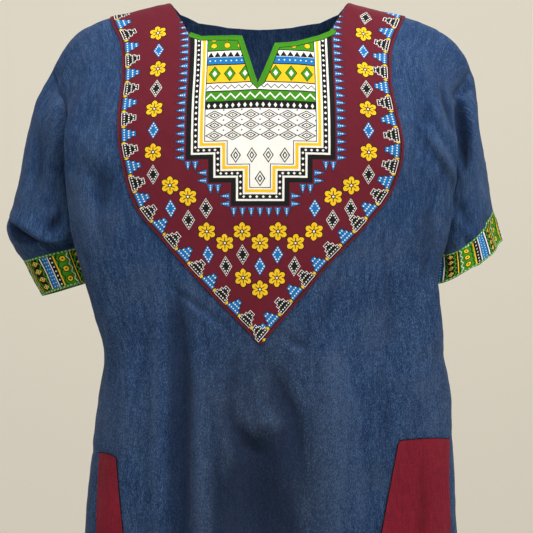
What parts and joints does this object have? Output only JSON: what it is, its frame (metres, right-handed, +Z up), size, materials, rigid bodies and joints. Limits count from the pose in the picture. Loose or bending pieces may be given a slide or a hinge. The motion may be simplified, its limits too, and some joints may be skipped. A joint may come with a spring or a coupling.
{
  "type": "dashiki dress",
  "caption": "Knee-length dashiki dress, filled out as worn: denim body and short sleeves, printed pointed yoke with a neck slit, printed cuffs and plain side pockets.",
  "frame": {"origin": "midway between the two neck points, where the shoulder seams meet the neckline and the wearer's shoulders carry the dress", "axes": "+Z up, the front faces -Y, the sleeve at the left of a front view lies at -X"},
  "size_m": [0.6825, 0.3046, 1.0014],
  "materials": {
    "denim": "soft light denim, mid blue, with upright slub streaks",
    "yoke_print": "wax-print cotton, burgundy with blue, black, yellow, green and white figures",
    "cuff_print": "wax-print cotton, green with yellow, blue, black and white stripes and figures",
    "pocket_cotton": "plain burgundy cotton, matt"
  },
  "bodies": {
    "root": {"front": "denim", "back": "denim", "sleeve_left": "denim", "sleeve_right": "denim", "yoke": "yoke_print", "cuff_left": "cuff_print", "cuff_right": "cuff_print", "pocket_left": "pocket_cotton", "pocket_right": "pocket_cotton"}
  },
  "joints": []
}
